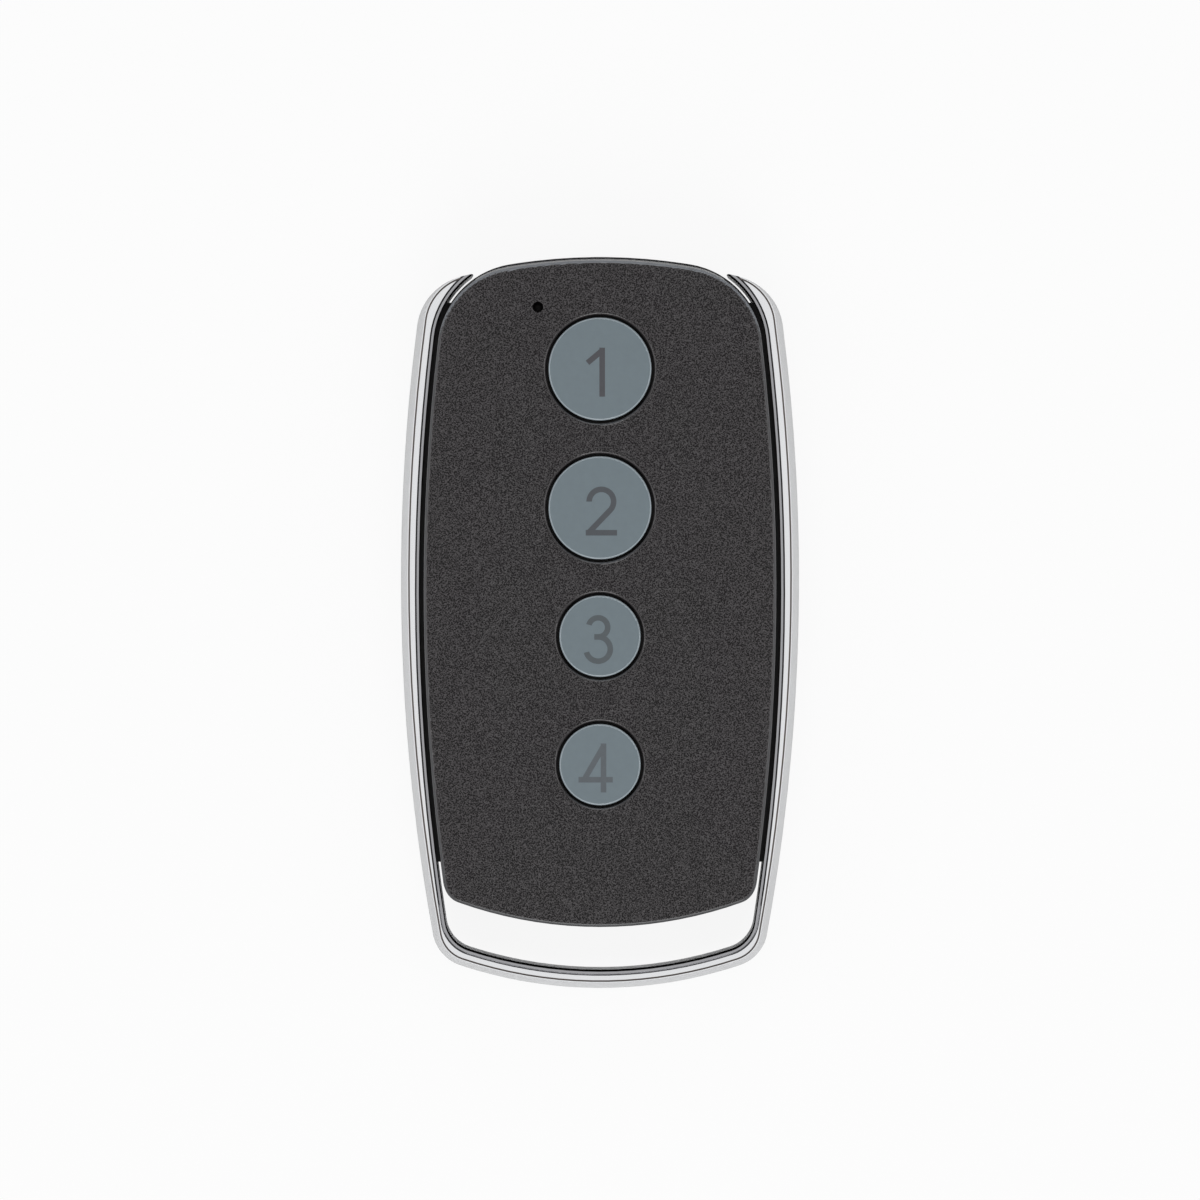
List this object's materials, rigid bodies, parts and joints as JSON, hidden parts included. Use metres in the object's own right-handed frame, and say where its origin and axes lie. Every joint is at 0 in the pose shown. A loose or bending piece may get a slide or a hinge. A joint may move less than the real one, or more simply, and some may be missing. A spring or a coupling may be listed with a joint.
{
  "type": "alarm remote control",
  "caption": "Slim handheld alarm remote: round numbered press keys in a grained case, held by a U-shaped chromed frame whose end bar takes a key ring.",
  "frame": {"origin": "middle of the bottom of the bounding box: the remote lies on its back, so z = 0 is the back face", "axes": "+X to the right and +Y towards the nose, both seen from the front; +Z out of the front face, towards the person who presses the keys"},
  "size_m": [0.037, 0.068, 0.0121],
  "materials": {
    "case": "fine leathery mould grain on the face, satin elsewhere",
    "key": "very fine satin",
    "legend": "satin",
    "chrome_frame": "bright plated",
    "board": "solder mask",
    "screws": "dark zinc",
    "steel": "nickel plated",
    "contact_metal": "bright",
    "lamp": "tinted, clear",
    "chip": "moulded",
    "switch_plastic": "moulded",
    "plunger": "moulded",
    "capacitor": "ceramic",
    "resistor": "glazed"
  },
  "bodies": {
    "root": {"front_cover": "case", "rear_cover": "case", "chrome_frame": "chrome_frame", "circuit_board": "board", "case_screws": "screws", "battery_cell": "steel", "battery_contact": "contact_metal", "battery_clip": "steel", "status_led": "lamp", "controller_chip": "chip", "rf_chip": "chip", "saw_resonator": "steel", "antenna": "contact_metal", "chip_capacitors": "capacitor", "chip_resistors": "resistor", "switch_base_1": "switch_plastic", "switch_dome_1": "steel", "switch_plate_1": "steel", "switch_base_2": "switch_plastic", "switch_dome_2": "steel", "switch_plate_2": "steel", "switch_base_3": "switch_plastic", "switch_dome_3": "steel", "switch_plate_3": "steel", "switch_base_4": "switch_plastic", "switch_dome_4": "steel", "switch_plate_4": "steel"},
    "button_1": {"button_1": "key", "legend_1": "legend"},
    "plunger_1": {"switch_plunger_1": "plunger"},
    "button_2": {"button_2": "key", "legend_2": "legend"},
    "plunger_2": {"switch_plunger_2": "plunger"},
    "button_3": {"button_3": "key", "legend_3": "legend"},
    "plunger_3": {"switch_plunger_3": "plunger"},
    "button_4": {"button_4": "key", "legend_4": "legend"},
    "plunger_4": {"switch_plunger_4": "plunger"}
  },
  "joints": [
    {"name": "button_1_press", "type": "slide", "parent": "root", "child": "button_1", "axis": [0, 0, -1], "range_m": [0, 0.0003], "stiffness_N_per_m": 3000},
    {"name": "plunger_1_slide", "type": "slide", "parent": "root", "child": "plunger_1", "axis": [0, 0, -1], "range_m": [0, 0.0003], "deforming": ["switch_dome_1"]},
    {"name": "button_2_press", "type": "slide", "parent": "root", "child": "button_2", "axis": [0, 0, -1], "range_m": [0, 0.0003], "stiffness_N_per_m": 3000},
    {"name": "plunger_2_slide", "type": "slide", "parent": "root", "child": "plunger_2", "axis": [0, 0, -1], "range_m": [0, 0.0003], "deforming": ["switch_dome_2"]},
    {"name": "button_3_press", "type": "slide", "parent": "root", "child": "button_3", "axis": [0, 0, -1], "range_m": [0, 0.0003], "stiffness_N_per_m": 3000},
    {"name": "plunger_3_slide", "type": "slide", "parent": "root", "child": "plunger_3", "axis": [0, 0, -1], "range_m": [0, 0.0003], "deforming": ["switch_dome_3"]},
    {"name": "button_4_press", "type": "slide", "parent": "root", "child": "button_4", "axis": [0, 0, -1], "range_m": [0, 0.0003], "stiffness_N_per_m": 3000},
    {"name": "plunger_4_slide", "type": "slide", "parent": "root", "child": "plunger_4", "axis": [0, 0, -1], "range_m": [0, 0.0003], "deforming": ["switch_dome_4"]}
  ],
  "couplings": [
    {"joint": "plunger_1_slide", "follows": "button_1_press", "ratio": 1},
    {"joint": "plunger_2_slide", "follows": "button_2_press", "ratio": 1},
    {"joint": "plunger_3_slide", "follows": "button_3_press", "ratio": 1},
    {"joint": "plunger_4_slide", "follows": "button_4_press", "ratio": 1}
  ]
}
